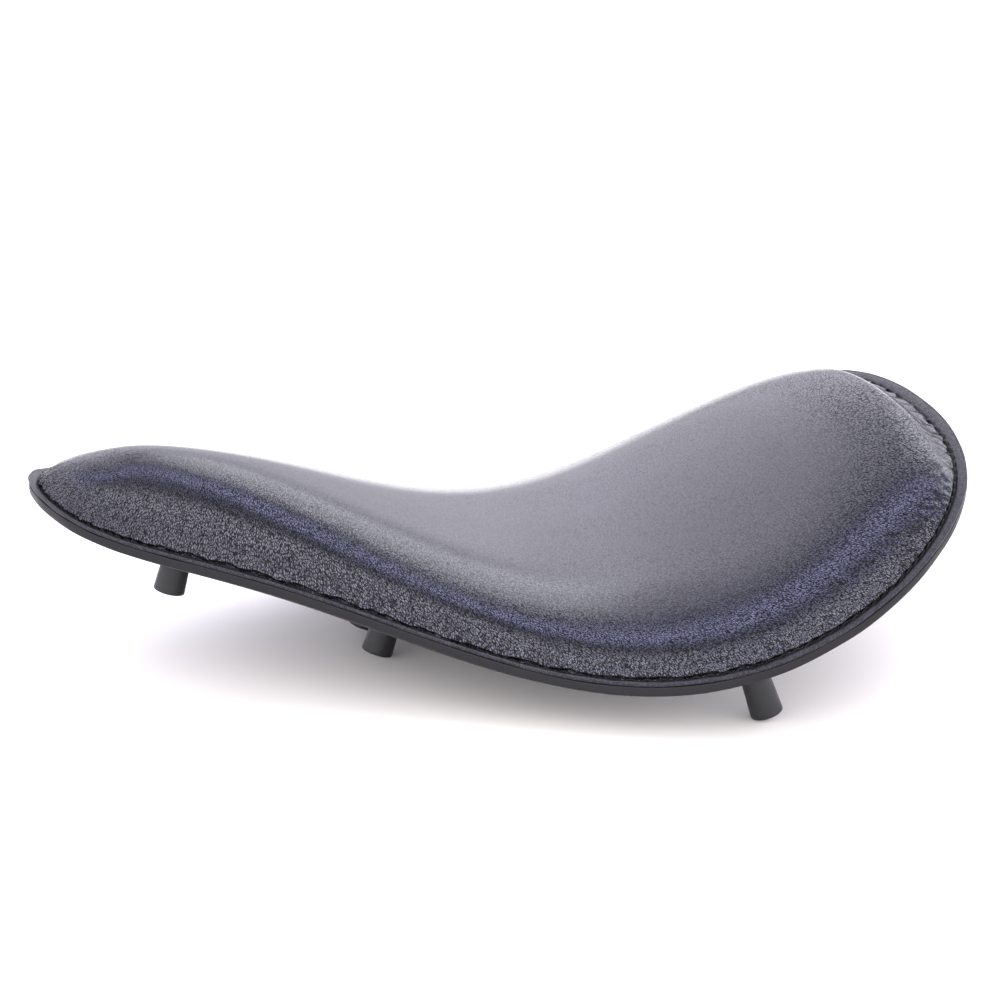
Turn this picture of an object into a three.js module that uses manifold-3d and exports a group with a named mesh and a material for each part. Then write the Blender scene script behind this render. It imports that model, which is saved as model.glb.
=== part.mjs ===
// A solo motorcycle seat: a leather cover sewn round a moulded foam pad on a saddle-bent steel pan,
// with a leather base, five rubber bumpers and four threaded bosses for a bracket and springs.
// Millimetres. -X is the nose, +X the tail, +Y the rider's right, +Z up.
import * as THREE from 'three';
import { mergeVertices } from 'three/addons/utils/BufferGeometryUtils.js';
import Module from 'manifold-3d';

const wasm = await Module();
wasm.setup();

// Plan and bend. Each list is the control heights of one smooth curve from nose to tail.
const LENGTH = 350;
const HALF_WIDTH = [80, 123, 30, 30, 160, 189, 130, 324];
const RIM_HEIGHT = [50, 15.5, 40.5, -15, -48, -10, 36, 59.5];
const CROSS_BEND = [12.5, 9.5, 4, -5];
const SPINE = { nose: -128, tail: 55 };
const COLUMNS = 44;

// Cushion.
const PAD_HEIGHT = [10.9, 28.7, 18.3, 12.4, 6.2, 13.9];
const PAD_SHOULDER = 52;
const PAD_FULLNESS = 1.8;
const PAD_CROWN = 11;
const PAD_TAIL = { from: 155, to: 172, fullness: 1.2, drop: 0.4 };

// Layers through the rim, counted down from the top face of the rim.
const GAP = 0.3;
const COVER = 1.4;
const PAN = 2;
const BASE = 3;
const SEAM_INSET = 5;
const PAN_INSET = 9;
const PAN_TOP = -COVER - GAP;
const BASE_TOP = PAN_TOP - PAN - GAP;
const BASE_BOTTOM = BASE_TOP - BASE;
const RIM_BOTTOM = PAN_TOP - BASE;

// Thread and fasteners.
const THREAD_RADIUS = 0.45;
const BUMPER = { length: 19.5, top: 5.2, bottom: 6.0, socket: 9 };
const BUMPERS = { nose: [-117.4, 0], middle: [-39, 14.6], tail: [70.8, 106.4] };
const STUD = { radius: 2.5, head: 4, headHeight: 1.2, above: 6 };
const NUT = { flats: 8, height: 4 };
const BOSS = { flange: 10, flangeHeight: 1.6, barrel: 6.5, bore: 3.4 };
const BOSSES = { front: [-84, 20], rear: [84, 76] };
const SIDES = { left: -1, right: 1 };

/** Height of the smooth curve with the given control values, for t from 0 to 1. */
function smooth(controls, t) {
  let row = [...controls];
  while (row.length > 1) {
    row = row.slice(1).map((next, i) => row[i] + (next - row[i]) * t);
  }
  return row[0];
}

const along = (x) => x / LENGTH + 0.5;

/** Point of the rim's outline at an angle round the seat, from the tail towards the right. */
function outline(angle) {
  const across = Math.sin(angle);
  const t = 1 - Math.acos(Math.cos(angle)) / Math.PI;
  return new THREE.Vector2(0.5 * LENGTH * Math.cos(angle), across * smooth(HALF_WIDTH, t));
}

/** Plan point moved in from the outline by inset, then by a share of the way to the spine. */
function plan(angle, inset, share) {
  const step = 0.01;
  const tangent = outline(angle + step).sub(outline(angle - step)).normalize();
  const edge = outline(angle).add(new THREE.Vector2(-tangent.y, tangent.x).multiplyScalar(inset));
  const middle = (SPINE.nose + SPINE.tail) / 2;
  const reach = (SPINE.tail - SPINE.nose) / 2;
  return edge.lerp(new THREE.Vector2(middle + reach * Math.cos(angle), 0), share);
}

/** Height of the rim's top face, carried on smoothly under the cushion. */
function rimHeight(x, y) {
  return smooth(RIM_HEIGHT, along(x)) + smooth(CROSS_BEND, along(x)) * (y / 100) ** 2;
}

const seam = Array.from({ length: 720 }, (_, i) => plan((i * Math.PI) / 360, SEAM_INSET, 0));

/**
 * Height of the cushion's top, which rises steeply at the seam and rounds over a wide shoulder.
 * At the tail's end it thins to a softer slope.
 */
function padHeight(x, y) {
  const fromSeam = Math.min(...seam.map((point) => Math.hypot(point.x - x, point.y - y)));
  const t = Math.min(fromSeam / PAD_SHOULDER, 1);
  const end = THREE.MathUtils.smoothstep(x, PAD_TAIL.from, PAD_TAIL.to);
  const fullness = PAD_FULLNESS + (PAD_TAIL.fullness - PAD_FULLNESS) * end;
  const rise = (1 - (1 - t) ** fullness) ** (1 / fullness) * (1 - PAD_TAIL.drop * end);
  const halfWidth = Math.abs(outline(Math.acos((2 * x) / LENGTH)).y);
  const crown = PAD_CROWN * (1 - (y / halfWidth) ** 2);
  return rimHeight(x, y) + rise * (smooth(PAD_HEIGHT, along(x)) + crown);
}

/** Upward normal of the surface z = height(x, y). */
function normalOf(height, x, y) {
  const step = 0.5;
  const slopeX = (height(x + step, y) - height(x - step, y)) / (2 * step);
  const slopeY = (height(x, y + step) - height(x, y - step)) / (2 * step);
  return new THREE.Vector3(-slopeX, -slopeY, 1).normalize();
}

// A station gives one ring of a solid: a point at each angle round the seat.
const sheet = (inset, share, level) => (angle) => {
  const { x, y } = plan(angle, inset, share);
  return new THREE.Vector3(x, y, rimHeight(x, y) + level);
};
const dome = (share, depth) => (angle) => {
  const { x, y } = plan(angle, SEAM_INSET, share);
  return new THREE.Vector3(x, y, padHeight(x, y)).addScaledVector(normalOf(padHeight, x, y), -depth);
};

const SHEET_SHARES = [1, 0.66, 0.33, 0.1, 0];
const DOME_SHARES = [1, 0.72, 0.48, 0.3, 0.18, 0.1, 0.05, 0.018];

/**
 * Solid whose skin runs out through the rings of its underside and back through those of its top.
 * Both sides split their faces along the same diagonals, so stacked layers never cross.
 */
function ringSolid(under, over) {
  const rings = [...under, ...over];
  const points = [];
  const faces = [];
  for (const ring of rings) {
    for (let column = 0; column < COLUMNS; column += 1) {
      points.push(...ring((column * 2 * Math.PI) / COLUMNS));
    }
  }
  for (let row = 0; row < rings.length - 1; row += 1) {
    for (let column = 0; column < COLUMNS; column += 1) {
      const next = (column + 1) % COLUMNS;
      const [a, b] = [row * COLUMNS + column, row * COLUMNS + next];
      const [d, c] = [a + COLUMNS, b + COLUMNS];
      faces.push(...(row < under.length ? [a, b, c, a, c, d] : [a, b, d, b, c, d]));
    }
  }
  const geometry = new THREE.BufferGeometry();
  geometry.setAttribute('position', new THREE.Float32BufferAttribute(points, 3));
  geometry.setIndex(faces);
  return mergeVertices(geometry, 1e-3);
}

const domeRings = (depth) => DOME_SHARES.map((share) => dome(share, depth));
const sheetRings = (level) => SHEET_SHARES.map((share) => sheet(PAN_INSET, share, level));

const coverShell = ringSolid(
  [...domeRings(COVER), sheet(SEAM_INSET + COVER, 0, -COVER), sheet(0, 0, -COVER)],
  [sheet(0, 0, 0), sheet(SEAM_INSET, 0, 0), ...domeRings(0).reverse()],
);

const foamBlock = ringSolid(
  [...sheetRings(-COVER), sheet(SEAM_INSET + COVER + GAP, 0, -COVER)],
  domeRings(COVER + GAP).reverse(),
);

/** Plate of the pan's outline, between two levels. */
const panSlab = (low, high) => ringSolid(sheetRings(low), sheetRings(high).reverse());
const panPlate = panSlab(PAN_TOP - PAN, PAN_TOP);

const basePlate = ringSolid(
  [...sheetRings(BASE_BOTTOM), sheet(SEAM_INSET, 0, RIM_BOTTOM), sheet(0, 0, RIM_BOTTOM)],
  [
    sheet(0, 0, PAN_TOP),
    sheet(SEAM_INSET + COVER, 0, PAN_TOP),
    sheet(PAN_INSET - 0.4, 0, BASE_TOP),
    ...sheetRings(BASE_TOP).reverse(),
  ],
);

/** Closed ring of thread lying at the given level beside the foot of the cushion. */
function threadRing(level) {
  const sides = 5;
  const stations = Array.from({ length: sides + 1 }, (_, i) => {
    const turn = (-(i % sides) * 2 * Math.PI) / sides;
    const inset = SEAM_INSET - GAP - THREAD_RADIUS * (1 + Math.sin(turn));
    return sheet(inset, 0, level + THREAD_RADIUS * Math.cos(turn));
  });
  return ringSolid([], stations);
}

/** Turns a point list of [radius, height] into a round solid about Z. */
function turned(profile, segments) {
  const points = profile.map(([radius, height]) => new THREE.Vector2(radius, height));
  return new THREE.LatheGeometry(points, segments).rotateX(Math.PI / 2);
}

const cylinder = (radius, low, high, segments = 10) =>
  turned([[0, low], [radius, low], [radius, high], [0, high]], segments);

/** Moves a solid made about Z so that it stands on the rim's surface at a plan point. */
function seated(geometry, [x, y]) {
  const up = normalOf(rimHeight, x, y);
  const turn = new THREE.Quaternion().setFromUnitVectors(new THREE.Vector3(0, 0, 1), up);
  return geometry.clone().applyQuaternion(turn).translate(x, y, rimHeight(x, y));
}

function toSolid(geometry) {
  const bare = geometry.clone().deleteAttribute('normal').deleteAttribute('uv');
  const welded = mergeVertices(bare, 1e-3);
  return new wasm.Manifold(new wasm.Mesh({
    numProp: 3,
    vertProperties: welded.attributes.position.array,
    triVerts: new Uint32Array(welded.index.array),
  }));
}

function toGeometry(solid) {
  const { vertProperties, triVerts } = solid.getMesh();
  const geometry = new THREE.BufferGeometry();
  geometry.setAttribute('position', new THREE.BufferAttribute(vertProperties, 3));
  geometry.setIndex(new THREE.BufferAttribute(triVerts, 1));
  return geometry;
}

function cut(geometry, ...cutters) {
  return toGeometry(cutters.reduce((solid, cutter) => solid.subtract(toSolid(cutter)), toSolid(geometry)));
}

/** Plan points of the fasteners: a left and right pair, or one alone on the centre line. */
function mirrored(places) {
  return Object.entries(places).flatMap(([row, [x, y]]) => {
    const pair = Object.entries(SIDES).map(([side, sign]) => ({ name: `${row}_${side}`, at: [x, sign * y] }));
    return y === 0 ? [{ name: row, at: [x, 0] }] : pair;
  });
}
const bumperPlaces = mirrored(BUMPERS);
const bossPlaces = mirrored(BOSSES);

// Shapes of the fasteners, each about Z with the rim's surface at height 0.
const bumperFoot = BASE_BOTTOM - GAP - BUMPER.length;
const headTop = BASE_BOTTOM - GAP - BUMPER.socket + STUD.headHeight + GAP;
const studTop = PAN_TOP + STUD.above;
const nutBottom = PAN_TOP + GAP;
const nutTop = nutBottom + NUT.height;
const bossTop = PAN_TOP + GAP + BOSS.flangeHeight;
const bossBottom = BASE_BOTTOM - 0.6;

const bumperBlank = turned(
  [[0, bumperFoot], [BUMPER.bottom, bumperFoot], [BUMPER.top, BASE_BOTTOM + 2], [0, BASE_BOTTOM + 2]],
  16,
);
const bumperSocket = turned([
  [0, headTop - STUD.headHeight - 2 * GAP],
  [STUD.head + GAP, headTop - STUD.headHeight - 2 * GAP],
  [STUD.head + GAP, headTop],
  [STUD.radius + GAP, headTop],
  [STUD.radius + GAP, 0],
  [0, 0],
], 10);
const studShape = turned([
  [0, headTop - GAP - STUD.headHeight],
  [STUD.head, headTop - GAP - STUD.headHeight],
  [STUD.head, headTop - GAP],
  [STUD.radius, headTop - GAP],
  [STUD.radius, studTop],
  [0, studTop],
], 10);
const nutBlank = cylinder(NUT.flats / Math.sqrt(3), nutBottom - 2, nutTop, 6);
const bossBlank = turned([
  [0, bossBottom],
  [BOSS.barrel, bossBottom],
  [BOSS.barrel, PAN_TOP - 2],
  [BOSS.flange, PAN_TOP - 2],
  [BOSS.flange, bossTop],
  [0, bossTop],
], 14);

// Space kept clear on either side of the sheets, with the sheets' own bend.
const baseClearance = panSlab(BASE_BOTTOM - GAP, BASE_BOTTOM + 9);
const panClearance = panSlab(PAN_TOP - 9, PAN_TOP + GAP);

const holes = [
  ...bumperPlaces.map(({ at }) => seated(cylinder(STUD.radius + GAP, -12, 4), at)),
  ...bossPlaces.map(({ at }) => seated(cylinder(BOSS.barrel + GAP, -12, 4, 14), at)),
];
const pockets = [
  ...bumperPlaces.map(({ at }) => seated(cylinder(5.6, -6, studTop + 1), at)),
  ...bossPlaces.map(({ at }) => seated(cylinder(BOSS.flange + 1, -6, bossTop + 1, 14), at)),
];

/** Flanged boss: its barrel passes down through the pan, and its flange lies on top of the pan. */
function bossSolid(at) {
  const barrel = toSolid(seated(cylinder(BOSS.barrel, bossBottom, bossTop, 14), at));
  const flange = toSolid(seated(bossBlank, at)).subtract(toSolid(panClearance));
  const bore = toSolid(seated(cylinder(BOSS.bore, bossBottom - 1, bossTop + 1), at));
  return toGeometry(barrel.add(flange).subtract(bore));
}

const seat = new THREE.Group();
seat.name = 'motorcycle_seat';

function add(name, geometry, { color, roughness, metalness = 0 }) {
  const material = new THREE.MeshStandardMaterial({ color, roughness, metalness });
  material.name = name;
  const mesh = new THREE.Mesh(geometry, material);
  mesh.name = name;
  seat.add(mesh);
}

const LEATHER = { color: 0x2a2930, roughness: 0.5 };
const BASE_LEATHER = { color: 0x34333a, roughness: 0.6 };
const FOAM = { color: 0xc9c2a8, roughness: 0.95 };
const BLACK_STEEL = { color: 0x1c1c1f, roughness: 0.45, metalness: 0.3 };
const ZINC = { color: 0xb8bcc0, roughness: 0.35, metalness: 0.9 };
const RUBBER = { color: 0x1b1b1e, roughness: 0.6 };
const THREAD = { color: 0x0e0e10, roughness: 0.7 };

add('top_cover', coverShell, LEATHER);
add('foam_pad', cut(foamBlock, ...pockets), FOAM);
add('seat_pan', cut(panPlate, ...holes), BLACK_STEEL);
add('base_leather', cut(basePlate, ...holes), BASE_LEATHER);
add('needle_thread', threadRing(GAP + THREAD_RADIUS), THREAD);
add('bobbin_thread', threadRing(RIM_BOTTOM - GAP - THREAD_RADIUS), THREAD);

for (const { name, at } of bumperPlaces) {
  const bumper = cut(seated(bumperBlank, at), baseClearance, seated(bumperSocket, at));
  const bore = seated(cylinder(STUD.radius + GAP, -6, 10), at);
  add(`bumper_${name}`, bumper, RUBBER);
  add(`bumper_stud_${name}`, seated(studShape, at), ZINC);
  add(`bumper_nut_${name}`, cut(seated(nutBlank, at), panClearance, bore), ZINC);
}
for (const { name, at } of bossPlaces) {
  add(`threaded_boss_${name}`, bossSolid(at), ZINC);
}

// The seat stands on its bumpers, centred in plan.
const box = new THREE.Box3().setFromObject(seat, true);
const centre = box.getCenter(new THREE.Vector3());
for (const mesh of seat.children) {
  mesh.geometry.translate(-centre.x, -centre.y, -box.min.z);
}

export default seat;
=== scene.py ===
"""A slim solo motorcycle seat: a grained leather cushion stitched to a leather base on rubber bumpers.

Lengths are in millimetres until a mesh is made, and then in metres. -X is the nose and +X the tail.
"""

import math

import bmesh
import bpy
import numpy as np
from mathutils import Matrix, Vector, kdtree


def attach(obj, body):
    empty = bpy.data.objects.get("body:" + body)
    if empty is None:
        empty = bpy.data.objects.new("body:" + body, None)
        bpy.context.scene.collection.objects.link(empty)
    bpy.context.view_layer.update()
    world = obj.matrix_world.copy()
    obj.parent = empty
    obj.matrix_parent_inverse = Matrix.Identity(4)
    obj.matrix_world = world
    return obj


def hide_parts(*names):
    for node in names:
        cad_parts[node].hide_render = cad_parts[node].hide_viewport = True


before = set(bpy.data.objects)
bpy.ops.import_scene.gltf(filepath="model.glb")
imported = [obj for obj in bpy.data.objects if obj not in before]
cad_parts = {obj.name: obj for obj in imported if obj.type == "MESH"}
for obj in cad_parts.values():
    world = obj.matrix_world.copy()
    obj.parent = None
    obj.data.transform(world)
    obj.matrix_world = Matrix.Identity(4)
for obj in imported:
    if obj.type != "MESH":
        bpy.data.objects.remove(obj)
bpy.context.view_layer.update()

MM = 0.001
rng = np.random.default_rng(7)

# ---------------------------------------------------------------------------------------------
# The seat's form: the same curves as the CAD solids, with z = 0 on the plane it stands on.

LENGTH = 350
HALF_WIDTH = [80, 123, 30, 30, 160, 189, 130, 324]
RIM_HEIGHT = [50, 15.5, 40.5, -15, -48, -10, 36, 59.5]
CROSS_BEND = [12.5, 9.5, 4, -5]
SPINE_NOSE, SPINE_TAIL = -128, 55
PAD_HEIGHT = [10.9, 28.7, 18.3, 12.4, 6.2, 13.9]
PAD_SHOULDER = 52
PAD_FULLNESS = 1.8
PAD_CROWN = 11
PAD_TAIL_FROM, PAD_TAIL_TO = 155, 172  # here the cushion thins to a softer slope
PAD_TAIL_FULLNESS = 1.2
PAD_TAIL_DROP = 0.4
STANDING = 25.511  # height of the rim curves' zero above the plane the bumpers stand on
SEAM_INSET = 5
PAN_INSET = 9

# Levels through the rim, from the top face of the cover down.
COVER = 1.4
PAN_TOP = -1.7
BASE_TOP = -4.0
RIM_BOTTOM = -4.7
BASE_BOTTOM = -7.0

STITCHES = 196
COLUMNS_PER_STITCH = 6
COLUMNS = STITCHES * COLUMNS_PER_STITCH
SPINE_ROUNDING = 5.5
ROUNDING_STARTS = (10, 24)  # distances from the seam between which the rounding comes in


def smooth(controls, t):
    """Height of the smooth curve with the given control values, for t from 0 to 1."""
    rows = [value + 0 * t for value in controls]
    while len(rows) > 1:
        rows = [a + (b - a) * t for a, b in zip(rows, rows[1:])]
    return rows[0]


def smoothstep(value, low, high):
    t = np.clip((value - low) / (high - low), 0, 1)
    return t * t * (3 - 2 * t)


def outline(angle):
    """Plan points of the rim's outline, at angles from the tail towards +Y."""
    t = 1 - np.arccos(np.clip(np.cos(angle), -1, 1)) / math.pi
    return np.stack([0.5 * LENGTH * np.cos(angle), np.sin(angle) * smooth(HALF_WIDTH, t)], -1)


def plan(angle, inset, share=0.0):
    """Plan points moved in from the outline by inset, then by a share of the way to the spine."""
    tangent = outline(angle + 0.01) - outline(angle - 0.01)
    tangent /= np.linalg.norm(tangent, axis=-1, keepdims=True)
    inward = np.stack([-tangent[..., 1], tangent[..., 0]], -1)
    edge = outline(angle) + inward * np.asarray(inset)[..., None]
    spine_x = (SPINE_NOSE + SPINE_TAIL) / 2 + (SPINE_TAIL - SPINE_NOSE) / 2 * np.cos(angle)
    spine = np.stack([spine_x, 0 * spine_x], -1)
    return edge + (spine - edge) * np.asarray(share)[..., None]


def rim_height(xy):
    t = xy[..., 0] / LENGTH + 0.5
    return STANDING + smooth(RIM_HEIGHT, t) + smooth(CROSS_BEND, t) * (xy[..., 1] / 100) ** 2


SEAM_POINTS = 3600
seam_tree = kdtree.KDTree(SEAM_POINTS)
seam_ring = plan(np.linspace(0, 2 * math.pi, SEAM_POINTS), SEAM_INSET)
for seam_index, (seam_x, seam_y) in enumerate(seam_ring):
    seam_tree.insert((seam_x, seam_y, 0), seam_index)
seam_tree.balance()


def seam_distance(xy):
    flat = [seam_tree.find((x, y, 0))[2] for x, y in xy.reshape(-1, 2)]
    return np.array(flat).reshape(xy.shape[:-1])


def cushion_rise(xy):
    """How far the cushion stands above the rim's surface."""
    t = np.minimum(seam_distance(xy) / PAD_SHOULDER, 1)
    end = smoothstep(xy[..., 0], PAD_TAIL_FROM, PAD_TAIL_TO)
    fullness = PAD_FULLNESS + (PAD_TAIL_FULLNESS - PAD_FULLNESS) * end
    rise = (1 - (1 - t) ** fullness) ** (1 / fullness) * (1 - PAD_TAIL_DROP * end)
    half_width = np.abs(outline(np.arccos(np.clip(2 * xy[..., 0] / LENGTH, -1, 1)))[..., 1])
    crown = PAD_CROWN * (1 - (xy[..., 1] / np.maximum(half_width, 1)) ** 2)
    return rise * (smooth(PAD_HEIGHT, xy[..., 0] / LENGTH + 0.5) + crown)


def cushion_height(xy):
    """Height of the cushion's top, with the ridge along its middle rounded off."""
    sharp = cushion_rise(xy)
    nodes, weights = np.polynomial.hermite.hermgauss(7)
    offsets = nodes * math.sqrt(2) * SPINE_ROUNDING
    soft = sum(w * cushion_rise(xy + np.array([0, o])) for w, o in zip(weights, offsets))
    soft /= math.sqrt(math.pi)
    blend = smoothstep(seam_distance(xy), *ROUNDING_STARTS)
    return rim_height(xy) + sharp + (soft - sharp) * blend


def sheet(angle, inset, level, share=0.0):
    """Ring of points on the rim's surface, moved up by level."""
    xy = plan(angle, inset, share)
    return np.concatenate([xy, (rim_height(xy) + level)[..., None]], -1)


def grid_normals(rows):
    """Normals of a grid of points whose second axis closes on itself."""
    across = np.gradient(rows, axis=0)
    along = np.roll(rows, -1, axis=1) - np.roll(rows, 1, axis=1)
    normals = np.cross(along, across)
    length = np.linalg.norm(normals, axis=-1, keepdims=True)
    return normals / np.maximum(length, 1e-9)


# ---------------------------------------------------------------------------------------------
# Mesh making.


def link(name, mesh):
    obj = bpy.data.objects.new(name, mesh)
    bpy.context.scene.collection.objects.link(obj)
    return obj


def shade_smooth(mesh):
    mesh.polygons.foreach_set("use_smooth", [True] * len(mesh.polygons))
    mesh.update()


def grid_object(name, rows, closed_rows=False, **values):
    """Closed solid whose skin runs through the rows of points, each row a ring.

    Further arrays, one number or vector for each point, are kept on the mesh under their names.
    """
    count, columns = rows.shape[:2]
    bm = bmesh.new()
    kinds = {2: bm.verts.layers.float, 3: bm.verts.layers.float_vector}
    layers = {key: kinds[value.ndim].new(key) for key, value in values.items()}
    points = [bm.verts.new(point) for point in (rows * MM).reshape(-1, 3)]
    for key, value in values.items():
        for point, entry in zip(points, value.reshape(count * columns, *value.shape[2:])):
            point[layers[key]] = entry
    for row in range(count if closed_rows else count - 1):
        low, high = row * columns, (row + 1) % count * columns
        for column in range(columns):
            after = (column + 1) % columns
            bm.faces.new([points[i] for i in (low + column, low + after, high + after, high + column)])
    bmesh.ops.remove_doubles(bm, verts=bm.verts, dist=1e-6)
    bmesh.ops.recalc_face_normals(bm, faces=bm.faces)
    mesh = bpy.data.meshes.new(name)
    bm.to_mesh(mesh)
    bm.free()
    shade_smooth(mesh)
    return link(name, mesh)


def apply_modifiers(obj):
    evaluated = obj.evaluated_get(bpy.context.evaluated_depsgraph_get())
    mesh = bpy.data.meshes.new_from_object(evaluated)
    obj.modifiers.clear()
    obj.data = mesh


def cut(obj, cutters):
    """Cuts other solids out of a piece."""
    for cutter in cutters:
        modifier = obj.modifiers.new("cut", "BOOLEAN")
        modifier.operation = "DIFFERENCE"
        modifier.solver = "EXACT"
        modifier.object = cutter
    apply_modifiers(obj)
    for cutter in cutters:
        bpy.data.objects.remove(cutter)
    shade_smooth(obj.data)


def turned(name, profile, segments=48):
    """Round solid about Z from a list of (radius, height) in millimetres."""
    angle = np.linspace(0, 2 * math.pi, segments, endpoint=False)
    ring = np.stack([np.cos(angle), np.sin(angle), 0 * angle], -1)
    rows = np.array([ring * radius + [0, 0, height] for radius, height in profile])
    return grid_object(name, rows)


def seated(obj, place):
    """Moves a solid made about Z so that it stands on the rim's surface at a plan point."""
    xy = np.array(place, float)
    step = 0.5
    slope = [
        (rim_height(xy + offset) - rim_height(xy - offset)) / (2 * step)
        for offset in (np.array([step, 0]), np.array([0, step]))
    ]
    up = Vector((-slope[0], -slope[1], 1)).normalized()
    turn = Vector((0, 0, 1)).rotation_difference(up).to_matrix().to_4x4()
    spot = Vector((xy[0], xy[1], rim_height(xy))) * MM
    obj.data.transform(Matrix.Translation(spot) @ turn)
    return obj


def rounded(radius, height, fillet, turn_from, steps=5):
    """Quarter round of a profile, from an angle in quarter turns, about the fillet's centre."""
    angles = [(turn_from + i / steps) * math.pi / 2 for i in range(steps + 1)]
    return [(radius + fillet * math.cos(a), height + fillet * math.sin(a)) for a in angles]


# ---------------------------------------------------------------------------------------------
# Materials.


class Nodes:
    """Short way to write a node tree."""

    def __init__(self, tree):
        self.tree = tree

    def add(self, kind, inputs=None, **settings):
        node = self.tree.nodes.new(kind)
        for key, value in settings.items():
            setattr(node, key, value)
        for key, value in (inputs or {}).items():
            if isinstance(value, bpy.types.NodeSocket):
                self.tree.links.new(value, node.inputs[key])
            else:
                node.inputs[key].default_value = value
        return node

    def math(self, operation, *values):
        return self.add("ShaderNodeMath", dict(enumerate(values)), operation=operation).outputs[0]

    def vector_math(self, operation, first, second):
        inputs = {0: first, "Scale" if operation == "SCALE" else 1: second}
        return self.add("ShaderNodeVectorMath", inputs, operation=operation).outputs[0]

    def attribute(self, name, output="Fac"):
        return self.add("ShaderNodeAttribute", attribute_name=name).outputs[output]

    def mixed(self, factor, low, high):
        inputs = {"Factor": factor, "A": (*low, 1), "B": (*high, 1)}
        return self.add("ShaderNodeMix", inputs, data_type="RGBA").outputs["Result"]

    def drive(self, shader, socket, value):
        self.tree.links.new(value, shader.inputs[socket])

    def ramp(self, value, low, high, to_low=0.0, to_high=1.0):
        inputs = {"Value": value, "From Min": low, "From Max": high, "To Min": to_low, "To Max": to_high}
        return self.add("ShaderNodeMapRange", inputs, interpolation_type="SMOOTHSTEP").outputs["Result"]

    def noise(self, vector, size_mm, detail=2.0, **more):
        inputs = {"Vector": vector, "Scale": 1 / (size_mm * MM), "Detail": detail, **more}
        return self.add("ShaderNodeTexNoise", inputs).outputs["Fac"]


def new_material(name, **principled):
    material = bpy.data.materials.new(name)
    material.use_nodes = True
    nodes = Nodes(material.node_tree)
    shader = material.node_tree.nodes["Principled BSDF"]
    for key, value in principled.items():
        shader.inputs[key.replace("_", " ")].default_value = value
    return material, nodes, shader


GRAIN_STRETCH = 0.4  # the grain is drawn out up the walls
DRIFT_SIZE, DRIFT = 2.4, 0.8  # the grain wanders by DRIFT over a distance of about DRIFT_SIZE
PEBBLE_EDGE = 0.3  # share of a cell over which a pebble rises from its crease
PEBBLE_MEAN = 0.5
CREASE_EDGE = 0.18
CREASE_ROUGHNESS = 0.08
RIM_ROUGHNESS = 0.22
RIM_DULLNESS = 0.09
RIM_CONTRAST = 0.35
TOP_CONTRAST, WALL_CONTRAST = 0.62, 1.3  # how much more a pebble's crown shines than its crease, as painted crease shade
TOP_LEVEL, WALL_LEVEL = 0.5, 0.6
DEEPEST_LEVEL = 0.04


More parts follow.
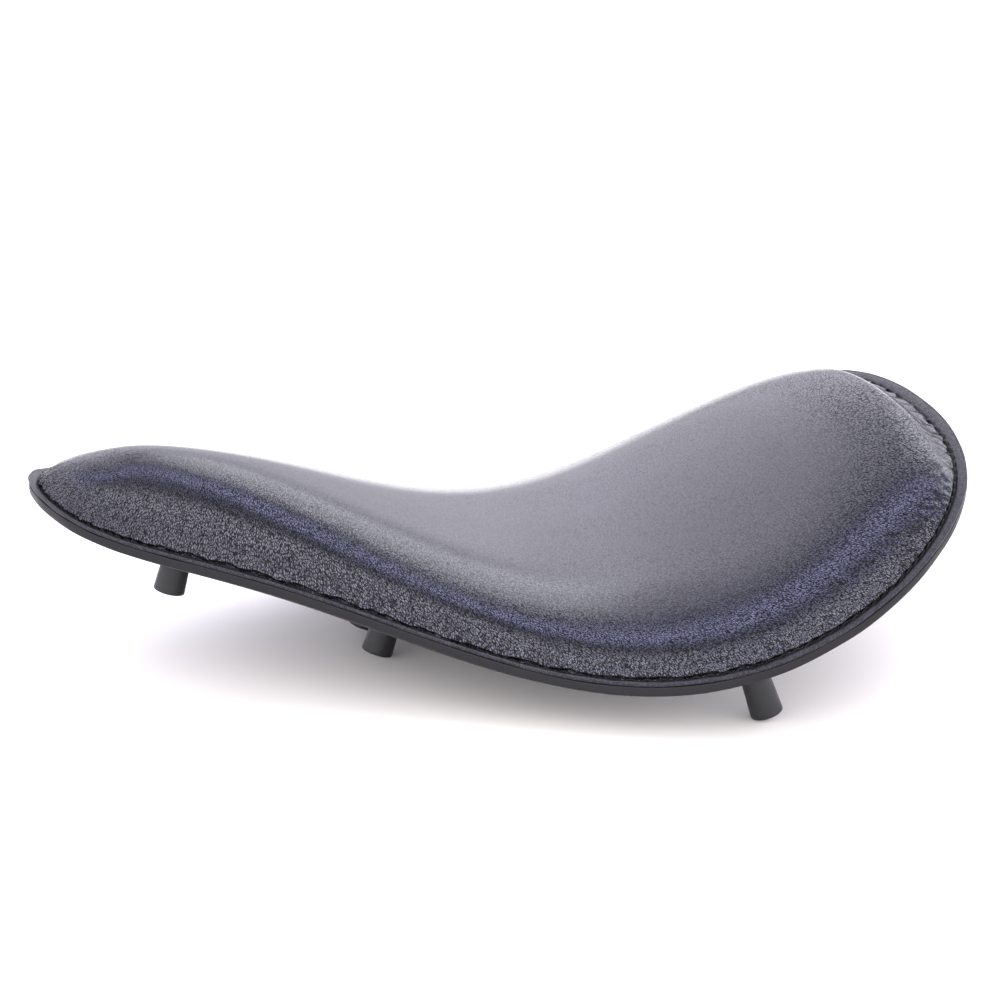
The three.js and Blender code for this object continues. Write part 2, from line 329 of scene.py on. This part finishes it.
def leather_material(name, colour, roughness, grain_mm, wall_depth_mm, top_depth_mm):
    """Pebbled leather: cells parted by creases, deep on the walls and faint on the top.

    "flank" says how deep the grain is, and "rim" where the skin is the duller, uncushioned rim. "skin"
    is the place on the skin round and up from the seam, and "even" says where it isn't squeezed.
    """
    # Painted reflection colour: the bluish Specular Tint stands in for a bluish tint of the studio light
    # in the leather's reflections.
    material, nodes, shader = new_material(name, IOR=1.5, Specular_Tint=(0.84, 0.85, 1.0, 1))
    place = nodes.add("ShaderNodeTexCoord").outputs["Object"]
    flank = nodes.attribute("flank")
    rim = nodes.attribute("rim")
    drift_inputs = {"Vector": place, "Scale": 1 / (DRIFT_SIZE * MM), "Detail": 2.0}
    drift = nodes.add("ShaderNodeTexNoise", drift_inputs).outputs["Color"]
    shift = nodes.vector_math("SUBTRACT", drift, (0.5,) * 3)
    shift = nodes.vector_math("SCALE", shift, DRIFT * MM)
    drawn = nodes.vector_math("MULTIPLY", nodes.attribute("skin", "Vector"), (1, 1, GRAIN_STRETCH))
    distances = []
    for vector in (place, drawn):
        bent = nodes.vector_math("ADD", vector, shift)
        cells = nodes.add(
            "ShaderNodeTexVoronoi",
            {"Vector": bent, "Scale": 1 / (grain_mm * MM), "Randomness": 1.0},
            feature="DISTANCE_TO_EDGE",
        )
        distances.append(cells.outputs["Distance"])
    distance = nodes.ramp(nodes.attribute("even"), 0.0, 1.0, *distances)
    pebble = nodes.ramp(distance, 0.0, PEBBLE_EDGE)
    fine = nodes.noise(place, 0.6)
    height = nodes.math("ADD", pebble, nodes.math("MULTIPLY", fine, 0.3))
    patch = nodes.ramp(nodes.noise(place, 22.0), 0.3, 0.7, 0.7, 1.2)
    steepness = nodes.math("POWER", flank, 4.0)
    depth = nodes.ramp(steepness, 0.0, 1.0, top_depth_mm * MM, wall_depth_mm * MM)
    height = nodes.math("MULTIPLY", height, nodes.math("MULTIPLY", depth, patch))
    bump = nodes.add("ShaderNodeBump", {"Strength": 1.0, "Distance": 1.0, "Height": height})
    nodes.drive(shader, "Normal", bump.outputs["Normal"])
    # Light seldom gets out of a crease, so a crease is rougher and shines less than a pebble's crown:
    # the lower Specular IOR Level in the creases below is painted crease shade.
    crease = nodes.ramp(distance, 0.0, CREASE_EDGE, 1.0, 0.0)
    wear = nodes.ramp(nodes.noise(place, 40.0), 0.3, 0.7, roughness - 0.015, roughness + 0.015)
    shine = nodes.math("ADD", wear, nodes.math("MULTIPLY", crease, CREASE_ROUGHNESS))
    shine = nodes.math("ADD", shine, nodes.math("MULTIPLY", rim, RIM_ROUGHNESS))
    nodes.drive(shader, "Roughness", shine)
    contrast = nodes.ramp(flank, 0.0, 0.45, TOP_CONTRAST, WALL_CONTRAST)
    contrast = nodes.math("MULTIPLY", contrast, nodes.ramp(rim, 0.0, 1.0, 1.0, RIM_CONTRAST))
    level = nodes.math("MULTIPLY", nodes.math("SUBTRACT", pebble, PEBBLE_MEAN), contrast)
    level = nodes.math("ADD", level, nodes.ramp(flank, 0.3, 1.0, TOP_LEVEL, WALL_LEVEL))
    level = nodes.math("SUBTRACT", level, nodes.math("MULTIPLY", rim, RIM_DULLNESS))
    nodes.drive(shader, "Specular IOR Level", nodes.math("MAXIMUM", level, DEEPEST_LEVEL))
    # Painted crease shade: the base colour falls to half its value down in the creases between the
    # pebbles.
    nodes.drive(shader, "Base Color", nodes.mixed(pebble, tuple(0.5 * c for c in colour), colour))
    return material


def plain_material(name, colour, roughness, bump_size_mm, bump_depth_mm, mottle=0.3, **principled):
    """Solid finish with a fine uneven surface and slightly uneven gloss and shade."""
    material, nodes, shader = new_material(name, **principled)
    place = nodes.add("ShaderNodeTexCoord").outputs["Object"]
    fine = nodes.noise(place, bump_size_mm, 3.0)
    cloud = nodes.noise(place, 9.0, 4.0)
    bump = nodes.add("ShaderNodeBump", {"Strength": 1.0, "Distance": bump_depth_mm * MM, "Height": fine})
    nodes.drive(shader, "Normal", bump.outputs["Normal"])
    nodes.drive(shader, "Roughness", nodes.ramp(cloud, 0.3, 0.7, roughness - 0.07, roughness + 0.07))
    low = tuple(c * (1 - mottle) for c in colour)
    high = tuple(min(1, c * (1 + mottle)) for c in colour)
    nodes.drive(shader, "Base Color", nodes.mixed(cloud, low, high))
    return material


cover_leather = leather_material("cover_leather", (0.014, 0.0135, 0.017), 0.16, 0.64, 0.10, 0.0045)
base_leather = plain_material(
    "base_leather", (0.009, 0.0086, 0.0105), 0.44, 1.1, 0.035, Specular_IOR_Level=0.22
)
thread_black = plain_material(
    "thread_black", (0.004, 0.004, 0.005), 0.5, 0.3, 0.05, Specular_IOR_Level=0.18
)
rubber_black = plain_material(
    "rubber_black", (0.010, 0.0098, 0.0125), 0.47, 0.6, 0.02, Specular_IOR_Level=0.38
)
foam_buff = plain_material("foam_buff", (0.55, 0.48, 0.32), 0.9, 0.9, 0.15)
pan_paint = plain_material("pan_paint", (0.012, 0.012, 0.013), 0.42, 1.2, 0.02)
zinc_plate = plain_material("zinc_plate", (0.55, 0.56, 0.58), 0.32, 2.5, 0.01, mottle=0.12, Metallic=1.0)


def finish_piece(obj, material, slot, *nodes):
    """Gives a piece its finish and its body, and hides the CAD nodes it stands for."""
    obj.data.materials.clear()
    obj.data.materials.append(material)
    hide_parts(*nodes)
    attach(obj, "root")
    return obj


# ---------------------------------------------------------------------------------------------
# Cover: the cushion's skin, carried on past the seam as the upper layer of the rim.

column_angle = np.linspace(0, 2 * math.pi, COLUMNS, endpoint=False)
stitch_phase = np.arange(COLUMNS) % COLUMNS_PER_STITCH / COLUMNS_PER_STITCH
stitch_index = np.arange(COLUMNS) // COLUMNS_PER_STITCH


def ripple(periods, size):
    """Smooth random run of numbers round the seam, with the given longest and shortest waves."""
    value = 0 * column_angle
    for wave in range(*periods):
        value += rng.normal() * np.cos(wave * column_angle + rng.uniform(0, 2 * math.pi))
    return size * value / math.sqrt((periods[1] - periods[0]) / 2)


# Upper rim layer as (inset, level): up round the cut edge, over a creased line and down to the
# stitch groove.
COVER_UNDERSIDE = [(6.3, -1.4), (4.5, -1.4), (2.6, -1.4)]
COVER_RIM = [
    (0.85, -1.40), (0.40, -1.37), (0.12, -1.22), (0.0, -0.95), (0.0, -0.45), (0.09, -0.18),
    (0.28, -0.03), (0.55, 0.02), (0.85, 0.0), (1.05, -0.10), (1.25, -0.02), (1.6, 0.05),
    (2.4, 0.05), (3.1, 0.02), (3.5, -0.08), (3.8, -0.32), (4.15, -0.48), (4.5, -0.46), (4.8, -0.3),
]
DOME_ROWS = 60
DOME_SPACING = 1.9
UNDER_ROWS = range(DOME_ROWS - 5, 0, -5)
WALL_CLIMB = (4, 20)  # the wall's deep grain fades out between these climbs from the seam
SHOULDER_CLIMB = (20, 56)
SHOULDER_GRAIN = 0.4
RIM_GRAIN = 0.2

edge_wave = ripple((3, 40), 0.10)
level_wave = ripple((5, 60), 0.04)
rim_rows = np.array([
    sheet(
        column_angle,
        inset + edge_wave * (inset < 1.5),
        level + level_wave * (-1 < level and inset < 3),
    )
    for inset, level in COVER_RIM
])

dome_share = (np.arange(DOME_ROWS) / (DOME_ROWS - 1)) ** DOME_SPACING
dome_xy = np.array([plan(column_angle, SEAM_INSET, share) for share in dome_share])
dome_rows = np.concatenate([dome_xy, cushion_height(dome_xy)[..., None]], -1)
climb = np.cumsum(np.linalg.norm(np.diff(dome_rows, axis=0, prepend=dome_rows[:1]), axis=-1), axis=0)

# The skin's own set: it is blown up as cloth that is held at every stitch and borne by the foam,
# and that movement is carried over to the fine rows.
SIM_ROWS = list(range(0, DOME_ROWS - 1, 3)) + [DOME_ROWS - 1]
SIM_STEP = COLUMNS_PER_STITCH // 2
SIM_FRAMES = 20
SIM_PRESSURE = 4
SIM_SLACK = 0.012
SIM_MASS = 0.002
SIM_LIMIT = 0.8
SWELL_CLIMB = (2, 13)  # the swelling shows beside the seam and has died away by here
FOAM_HOLD = (0.25, 0.95)  # how firmly the foam holds the skin, at the seam and on the top
HOLD_CLIMB = (4, 26)
ROW_BLEND = 1.8  # rows over which the cloth's movement is spread
SPINE_FADE = (0.05, 0.5)  # shares of the way from the spine over which the movement comes in


def blown_up(rows, hold):
    """Movement of each point of the rows when they swell as cloth; hold is how firmly each is kept."""
    count, columns = rows.shape[:2]
    fold = np.minimum(np.arange(columns), (columns - np.arange(columns)) % columns)
    index = np.arange(count * columns).reshape(count, columns)
    index[-1] = index[-1, fold]
    after = np.roll(index, -1, axis=1)
    quads = np.stack([index[:-1], after[:-1], after[1:], index[1:]], -1).reshape(-1, 4)
    used, compact = np.unique(index, return_inverse=True)
    compact = compact.reshape(count, columns)
    lookup = dict(zip(used.tolist(), range(len(used))))
    mesh = bpy.data.meshes.new("cloth")
    start = rows.reshape(-1, 3)[used] * MM
    mesh.from_pydata(start.tolist(), [], [[lookup[i] for i in quad] for quad in quads.tolist()])
    cloth_object = link("cloth", mesh)
    held = cloth_object.vertex_groups.new(name="held")
    for point, firmness in enumerate(hold.reshape(-1)[used].tolist()):
        held.add([point], firmness, "REPLACE")
    modifier = cloth_object.modifiers.new("cloth", "CLOTH")
    settings = modifier.settings
    settings.quality = 6
    settings.mass = SIM_MASS
    settings.vertex_group_mass = "held"
    settings.use_pressure = True
    settings.uniform_pressure_force = SIM_PRESSURE
    settings.shrink_min = -SIM_SLACK
    settings.effector_weights.gravity = 0
    modifier.point_cache.frame_start = 1
    modifier.point_cache.frame_end = SIM_FRAMES
    for moment in range(1, SIM_FRAMES + 1):
        bpy.context.scene.frame_set(moment)
    swollen = cloth_object.evaluated_get(bpy.context.evaluated_depsgraph_get()).data
    place = np.empty(len(used) * 3)
    swollen.vertices.foreach_get("co", place)
    moved = (place.reshape(-1, 3) - start) / MM
    bpy.context.scene.frame_set(1)
    bpy.data.objects.remove(cloth_object)
    return moved[compact]


firmness = smoothstep(climb[SIM_ROWS, ::SIM_STEP], *HOLD_CLIMB)
hold = FOAM_HOLD[0] + (FOAM_HOLD[1] - FOAM_HOLD[0]) * firmness
hold[0, ::2] = 1
swell = blown_up(dome_rows[SIM_ROWS, ::SIM_STEP], hold)
reach = np.linalg.norm(swell, axis=-1, keepdims=True)
swell *= SIM_LIMIT * np.tanh(reach / SIM_LIMIT) / np.maximum(reach, 1e-6)
swell = np.fft.irfft(np.fft.rfft(swell, axis=1), n=COLUMNS, axis=1) * SIM_STEP
nearness = np.exp(-(((np.arange(DOME_ROWS)[:, None] - SIM_ROWS) / ROW_BLEND) ** 2))
nearness /= nearness.sum(axis=1, keepdims=True)
swell = np.einsum("rs,scx->rcx", nearness, swell)
swell *= smoothstep(1 - dome_share, *SPINE_FADE)[:, None, None]
dome_rows = dome_rows + swell * (1 - smoothstep(climb, *SWELL_CLIMB))[..., None]

# Puckers: the skin is drawn in at each stitch and stands out between stitches, over the thread.
# They die away towards the gentle slope at the tail.
PUCKER, PUCKER_CLIMB, PUCKER_REACH = 0.85, 1.4, 1.3
OVERHANG, OVERHANG_CLIMB = 1.15, 1.7
CALM_TAIL = (PAD_TAIL_FROM - 45, PAD_TAIL_TO - 6)
outward = plan(column_angle, 0.0) - plan(column_angle, 1.0)
outward = np.concatenate([outward, 0 * outward[:, :1]], -1)
steep = 1 - 0.97 * smoothstep(dome_xy[..., 0], *CALM_TAIL)
stitch_size = rng.uniform(0.35, 1.0, STITCHES)[stitch_index]
between = np.sin(math.pi * (stitch_phase + 0.5 / COLUMNS_PER_STITCH)) ** 1.4
pucker = PUCKER * stitch_size * between * np.exp(-(((climb - PUCKER_CLIMB) / PUCKER_REACH) ** 2))
overhang = OVERHANG + ripple((15, 130), 0.3)
overhang = overhang * np.exp(-(((climb - OVERHANG_CLIMB) / OVERHANG_CLIMB) ** 2))
overhang *= smoothstep(climb, 0, 1.0)
gather = ripple((50, 196), 0.13) * np.exp(-climb / 6.0) * np.clip(climb / 1.5, 0, 1)
creases = ripple((20, 70), 0.03) * np.exp(-(((climb - 7) / 8.0) ** 2))
dome_rows = dome_rows + outward * (steep * (overhang + pucker))[..., None]
dome_rows = dome_rows + grid_normals(dome_rows) * (steep * (gather + creases))[..., None]

dome_under = dome_rows - grid_normals(dome_rows) * COVER
under_rows = np.array(
    [dome_under[row] for row in UNDER_ROWS] + [sheet(column_angle, *pair) for pair in COVER_UNDERSIDE]
)
# The skin closes along the spine, where both sides' columns meet on one line.
spine_line = dome_rows[-1].copy()
spine_line[:, 2] -= COVER
cover_rows = np.concatenate([spine_line[None], under_rows, rim_rows, dome_rows])
# The grain is deep on the flanks, fades over the shoulder, and is fine on the top and on the rim.
flank = np.full(cover_rows.shape[:2], RIM_GRAIN)
rim = np.ones(cover_rows.shape[:2])
rim[-DOME_ROWS:] = 1 - smoothstep(climb, 0.3, 1.5)
flank[-DOME_ROWS:] = (steep - SHOULDER_GRAIN) * (1 - smoothstep(climb, *WALL_CLIMB))
flank[-DOME_ROWS:] += SHOULDER_GRAIN * (1 - smoothstep(climb, *SHOULDER_CLIMB))
# Place on the skin: round the seam on a circle of the seam's own length, and up from the seam.
seam_steps = np.diff(dome_xy[0], axis=0, append=dome_xy[:1, 0])
seam_radius = np.linalg.norm(seam_steps, axis=-1).sum() / (2 * math.pi)
travel = np.cumsum(np.linalg.norm(np.diff(cover_rows, axis=0, prepend=cover_rows[:1]), axis=-1), axis=0)
skin = np.stack([
    seam_radius * np.cos(column_angle) + 0 * travel,
    seam_radius * np.sin(column_angle) + 0 * travel,
    travel - travel[-DOME_ROWS],
], -1)
spacing = np.linalg.norm(np.roll(dome_xy, -1, axis=1) - dome_xy, axis=-1)
even = np.ones(cover_rows.shape[:2])
even[-DOME_ROWS:] = smoothstep(spacing / spacing[0], 0.45, 0.7)
cover = grid_object("cover", cover_rows, flank=flank, rim=rim, even=even, skin=skin * MM)
finish_piece(cover, cover_leather, "cover_leather", "top_cover")

# ---------------------------------------------------------------------------------------------
# Foam, hidden in the cover, with pockets over the fasteners.

BUMPERS = {"nose": (-117.4, 0), "middle": (-39, 14.6), "tail": (70.8, 106.4)}
BOSSES = {"front": (-84, 20), "rear": (84, 76)}
SIDES = {"left": -1, "right": 1}


def mirrored(places):
    """Plan points of a left and right pair, or of one alone on the centre line."""
    found = {}
    for row, (x, y) in places.items():
        pair = {f"{row}_{side}": (x, sign * y) for side, sign in SIDES.items()}
        found.update(pair if y else {row: (x, 0)})
    return found


bumper_places = mirrored(BUMPERS)
boss_places = mirrored(BOSSES)

coarse = slice(None, None, 4)
coarse_angle = column_angle[coarse]
SHEET_SHARES = [1, 0.66, 0.33, 0.1, 0]
foam_rows = np.array(
    [sheet(coarse_angle, PAN_INSET, -COVER, share) for share in SHEET_SHARES]
    + [sheet(coarse_angle, 6.7, -COVER)]
    + list((dome_rows - grid_normals(dome_rows) * (COVER + 0.6))[8::4, coarse])
)
foam_rows[-1] = foam_rows[-1] * 0 + (spine_line - [0, 0, 0.6])[coarse]
foam = grid_object("foam", foam_rows)


def peg(name, radius, low, high):
    return turned(name, [(0, low), (radius, low), (radius, high), (0, high)], 24)


cut(foam, [seated(peg("peg", 5.6, -6, 5.3), at) for at in bumper_places.values()]
    + [seated(peg("peg", 11, -6, 1.2), at) for at in boss_places.values()])
finish_piece(foam, foam_buff, "foam", "foam_pad")

# ---------------------------------------------------------------------------------------------
# Base leather: thick under the pan, thinner at the rim, with a dressed round edge.

BASE_EDGE = [
    (8.6, -6.92), (7.2, -6.2), (6.0, -5.6), (5.0, -5.24), (3.6, -5.15), (1.5, -5.15), (0.7, -5.09),
    (0.25, -4.87), (0.03, -4.4), (-0.05, -3.6), (-0.04, -2.2), (0.0, -1.70), (0.10, -1.50),
    (0.35, -1.43), (1.2, -1.43), (3.0, -1.7), (6.3, -1.7), (8.6, -4.0),
]
base_angle = column_angle[::2]
base_wave = ripple((3, 36), 0.13)[::2]
gap_wave = np.minimum(ripple((4, 50), 0.16)[::2] + 0.14, 0.0)
base_rows = np.array(
    [sheet(base_angle, PAN_INSET + 0.6, BASE_BOTTOM, share) for share in np.linspace(1, 0, 10)]
    + [
        sheet(
            base_angle,
            inset + base_wave * (inset < 2),
            level + gap_wave * (inset < 2.5 and level > -3),
        )
        for inset, level in BASE_EDGE
    ]
    + [sheet(base_angle, PAN_INSET + 0.4, BASE_TOP, share) for share in np.linspace(0, 1, 6)]
)
base = grid_object("base", base_rows)
cut(base, [seated(peg("peg", 2.8, -12, 4), at) for at in bumper_places.values()]
    + [seated(peg("peg", 6.8, -12, 4), at) for at in boss_places.values()])
finish_piece(base, base_leather, "base_leather", "base_leather")

# ---------------------------------------------------------------------------------------------
# Lockstitch: each thread is one closed twisted cord that rises over a stitch and dips at each hole.

THREAD_RADIUS = 0.66
THREAD_INSET = 4.45
THREAD_SIDES = 10
TWISTS_PER_STITCH = 3
STEPS_PER_STITCH = 14
STITCH_ARCH = 1.7
STITCH_SLANT = 0.28
STITCH_WANDER = 0.07


def twisted_cord(name, top_level, dip):
    """Closed two-ply cord along the stitch line. dip is signed: below the leather's face or above it."""
    steps = STITCHES * STEPS_PER_STITCH
    turn = np.linspace(0, 2 * math.pi, steps, endpoint=False)
    phase = np.arange(steps) % STEPS_PER_STITCH / STEPS_PER_STITCH
    arch = 1 - np.abs(2 * phase - 1) ** STITCH_ARCH
    slant = STITCH_SLANT * (phase - 0.5) * 2 * arch
    wander = rng.normal(0, STITCH_WANDER, STITCHES)[np.arange(steps) // STEPS_PER_STITCH]
    centre = sheet(turn, THREAD_INSET + slant + wander, top_level - dip * (1 - arch))
    along = np.roll(centre, -1, axis=0) - np.roll(centre, 1, axis=0)
    along /= np.linalg.norm(along, axis=-1, keepdims=True)
    side = np.cross(along, [0, 0, 1])
    side /= np.linalg.norm(side, axis=-1, keepdims=True)
    up = np.cross(side, along)
    rows = []
    for k in range(THREAD_SIDES):
        around = 2 * math.pi * k / THREAD_SIDES
        lay = 2 * math.pi * TWISTS_PER_STITCH * np.arange(steps) / STEPS_PER_STITCH / 2
        radius = THREAD_RADIUS * (0.9 + 0.16 * np.abs(np.cos(around - lay)))
        rows.append(centre + (side * math.cos(around) + up * math.sin(around)) * radius[:, None])
    return grid_object(name, np.array(rows), closed_rows=True)


needle = twisted_cord("needle_stitching", 0.14, 1.5)
finish_piece(needle, thread_black, "thread", "needle_thread")
bobbin = twisted_cord("bobbin_stitching", RIM_BOTTOM - 0.12, -1.0)
finish_piece(bobbin, thread_black, "thread", "bobbin_thread")

# ---------------------------------------------------------------------------------------------
# Rubber bumpers, with a rounded and dimpled foot, and the threaded bosses.

BUMPER_LENGTH = 19.5
BUMPER_TOP_RADIUS = 5.2
BUMPER_FOOT_RADIUS = 6.0
FOOT_FILLET = 0.45
FOOT_DIMPLE = 0.25
FLARE_FROM = 1.2  # the bumper narrows from this height above its foot
bumper_top = BASE_BOTTOM - 0.3
bumper_foot = bumper_top - BUMPER_LENGTH
bumper_side = [
    (
        BUMPER_FOOT_RADIUS + (BUMPER_TOP_RADIUS - BUMPER_FOOT_RADIUS) * t,
        bumper_foot + FLARE_FROM + (BUMPER_LENGTH - FLARE_FROM) * t,
    )
    for t in np.linspace(0, 1, 14)
]
bumper_profile = (
    [(0, bumper_foot + FOOT_DIMPLE), (2.2, bumper_foot + FOOT_DIMPLE), (2.6, bumper_foot)]
    + rounded(BUMPER_FOOT_RADIUS - FOOT_FILLET, bumper_foot + FOOT_FILLET, FOOT_FILLET, -1)
    + bumper_side
    + [(0, bumper_top)]
)
for name, at in bumper_places.items():
    bumper = turned(f"rubber_bumper_{name}", bumper_profile, 64)
    cut(bumper, [peg("peg", 2.8, -15, 0)])
    seated(bumper, at)
    finish_piece(bumper, rubber_black, "rubber", f"bumper_{name}")

BOSS_PITCH = 1.25
BOSS_BORE = 3.4
BOSS_BARREL = 6.5
BOSS_FLANGE = 10
BOSS_MOUTH = BOSS_BORE + 0.9  # radius of the bore's chamfer at each end
THREAD_DEPTH = 0.6
THREAD_ROWS = 60
flange_foot = PAN_TOP + 0.3
boss_top = flange_foot + 1.6
boss_bottom = BASE_BOTTOM - 0.6
boss_outside = [
    (BOSS_MOUTH, boss_bottom), (BOSS_BARREL - 0.5, boss_bottom), (BOSS_BARREL, boss_bottom + 0.5),
    (BOSS_BARREL, flange_foot), (BOSS_FLANGE - 0.2, flange_foot), (BOSS_FLANGE, flange_foot + 0.2),
    (BOSS_FLANGE, boss_top - 0.3), (BOSS_FLANGE - 0.3, boss_top), (BOSS_MOUTH, boss_top),
]


def boss_object(name):
    """Flanged boss with a chamfered, threaded bore."""
    segments = 48
    angle = np.linspace(0, 2 * math.pi, segments, endpoint=False)
    ring = np.stack([np.cos(angle), np.sin(angle), 0 * angle], -1)
    rows = [ring * radius + [0, 0, height] for radius, height in boss_outside]
    for height in np.linspace(boss_top - 0.3, boss_bottom + 0.3, THREAD_ROWS):
        screw = (height / BOSS_PITCH - angle / (2 * math.pi)) % 1
        radius = BOSS_BORE + THREAD_DEPTH * np.abs(2 * screw - 1)
        rows.append(ring * radius[:, None] + [0, 0, height])
    return grid_object(name, np.array(rows), closed_rows=True)


for name, at in boss_places.items():
    boss = seated(boss_object(f"boss_{name}"), at)
    finish_piece(boss, zinc_plate, "zinc_steel", f"threaded_boss_{name}")

# The pan, studs and nuts keep their CAD meshes.
for node_name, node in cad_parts.items():
    if node_name == "seat_pan":
        node.data.materials[0] = pan_paint
    elif node_name.startswith(("bumper_stud", "bumper_nut")):
        node.data.materials[0] = zinc_plate

# ---------------------------------------------------------------------------------------------
# Floor, light and camera.

FLOOR_SIZE = 40.0
floor_mesh = bpy.data.meshes.new("floor")
half = FLOOR_SIZE / 2
floor_corners = [(-half, -half, 0), (half, -half, 0), (half, half, 0), (-half, half, 0)]
floor_mesh.from_pydata(floor_corners, [], [(0, 1, 2, 3)])
floor = link("floor", floor_mesh)
floor_material, _, floor_shader = new_material("floor_white", Roughness=0.6)
floor_shader.inputs["Base Color"].default_value = (0.87, 0.85, 0.835, 1)
floor_shader.inputs["Specular IOR Level"].default_value = 0.2
floor_mesh.materials.append(floor_material)

CAMERA_AZIMUTH = math.radians(-12.32)
CAMERA_ELEVATION = math.radians(19.27)
CAMERA_DISTANCE = 1.112
CAMERA_LENS = 102.9
AIM_UP, AIM_RIGHT = 0.0280, 0.0041  # the view's middle, measured from the middle of the rim

# A studio tent as a soft dome. Its brightness goes by the angle from the floor behind the seat (0),
# over the top (90 degrees), down to the floor in front (180), and a brighter screen hangs behind it.
DOME_STOPS = [
    (0, (0.85, 0.84, 0.95)),
    (8, (1.40, 1.38, 1.56)),
    (17, (1.90, 1.87, 2.12)),
    (24, (1.95, 1.92, 2.18)),
    (34, (1.80, 1.78, 2.02)),
    (50, (1.75, 1.73, 1.98)),
    (52.8, (0.62, 0.62, 0.76)),
    (56, (0.72, 0.76, 1.10)),
    (58, (3.05, 3.10, 4.75)),
    (62.5, (3.05, 3.10, 4.75)),
    (65, (0.26, 0.26, 0.32)),
    (70.5, (0.26, 0.26, 0.31)),
    (76.5, (3.30, 3.23, 3.30)),
    (92, (3.10, 3.03, 3.08)),
    (103, (1.60, 1.57, 1.60)),
    (115, (1.70, 1.67, 1.70)),
    (128, (3.30, 3.23, 3.27)),
    (165, (3.20, 3.13, 3.16)),
    (180, (1.70, 1.68, 1.70)),
]
SCREEN_RISE = (24, 33)
SCREEN_FALL = (49.5, 52.8)
SCREEN_SIDE = (-0.12, 0.15)
SCREEN_LIGHT = 2.0
GAP_RISE = (11, 18)  # a dimmer gap below the screen
GAP_FALL = (24, 30)
GAP_SIDE = (-0.08, 0.10)
GAP_DEPTH = 0.12
world = bpy.data.worlds.new("studio")
bpy.context.scene.world = world
world.use_nodes = True
sky = Nodes(world.node_tree)
background = world.node_tree.nodes["Background"]
direction = sky.add("ShaderNodeTexCoord").outputs["Generated"]
facing = sky.add(
    "ShaderNodeVectorRotate", {"Vector": direction, "Angle": -CAMERA_AZIMUTH}, rotation_type="Z_AXIS"
).outputs[0]
part = sky.add("ShaderNodeSeparateXYZ", {0: facing}).outputs
around = sky.math("DIVIDE", sky.math("ARCTAN2", sky.math("MAXIMUM", part["Z"], 0.0), part["Y"]), math.pi)
ramp = sky.add("ShaderNodeValToRGB", {"Fac": around})
peak = max(max(colour) for _, colour in DOME_STOPS)
elements = ramp.color_ramp.elements
while len(elements) < len(DOME_STOPS):
    elements.new(0.5)
for element, (angle, colour) in zip(elements, DOME_STOPS):
    element.position = angle / 180
    element.color = (*[c / peak for c in colour], 1)


def sky_band(rise, fall, side, strength):
    """Band of the sky between two soft edges, in degrees, that comes in towards one side."""
    inside = sky.math(
        "MULTIPLY",
        sky.ramp(around, *[angle / 180 for angle in rise]),
        sky.math("SUBTRACT", 1.0, sky.ramp(around, *[angle / 180 for angle in fall])),
    )
    return sky.math("MULTIPLY", inside, sky.ramp(part["X"], *side, 0.0, strength))


screen = sky_band(SCREEN_RISE, SCREEN_FALL, SCREEN_SIDE, SCREEN_LIGHT / peak)
gap = sky.math("SUBTRACT", 1.0, sky_band(GAP_RISE, GAP_FALL, GAP_SIDE, GAP_DEPTH))
dome_light = sky.vector_math("SCALE", ramp.outputs["Color"], gap)
sky.drive(background, "Color", sky.vector_math("ADD", dome_light, screen))
background.inputs["Strength"].default_value = peak

back = Vector((
    math.sin(CAMERA_AZIMUTH) * math.cos(CAMERA_ELEVATION),
    -math.cos(CAMERA_AZIMUTH) * math.cos(CAMERA_ELEVATION),
    math.sin(CAMERA_ELEVATION),
))
camera = bpy.data.objects.new("camera", bpy.data.cameras.new("camera"))
bpy.context.scene.collection.objects.link(camera)
bpy.context.scene.camera = camera
middle = Vector((0, 0, STANDING * MM))
squarely = (-back).to_track_quat("-Z", "Y")
aim = middle + squarely @ Vector((AIM_RIGHT, AIM_UP, 0))
camera.location = middle + back * CAMERA_DISTANCE
camera.rotation_mode = "QUATERNION"
camera.rotation_quaternion = (aim - camera.location).to_track_quat("-Z", "Y")
camera.data.sensor_width = 36
camera.data.lens = CAMERA_LENS
bpy.context.scene.view_settings.view_transform = "Standard"
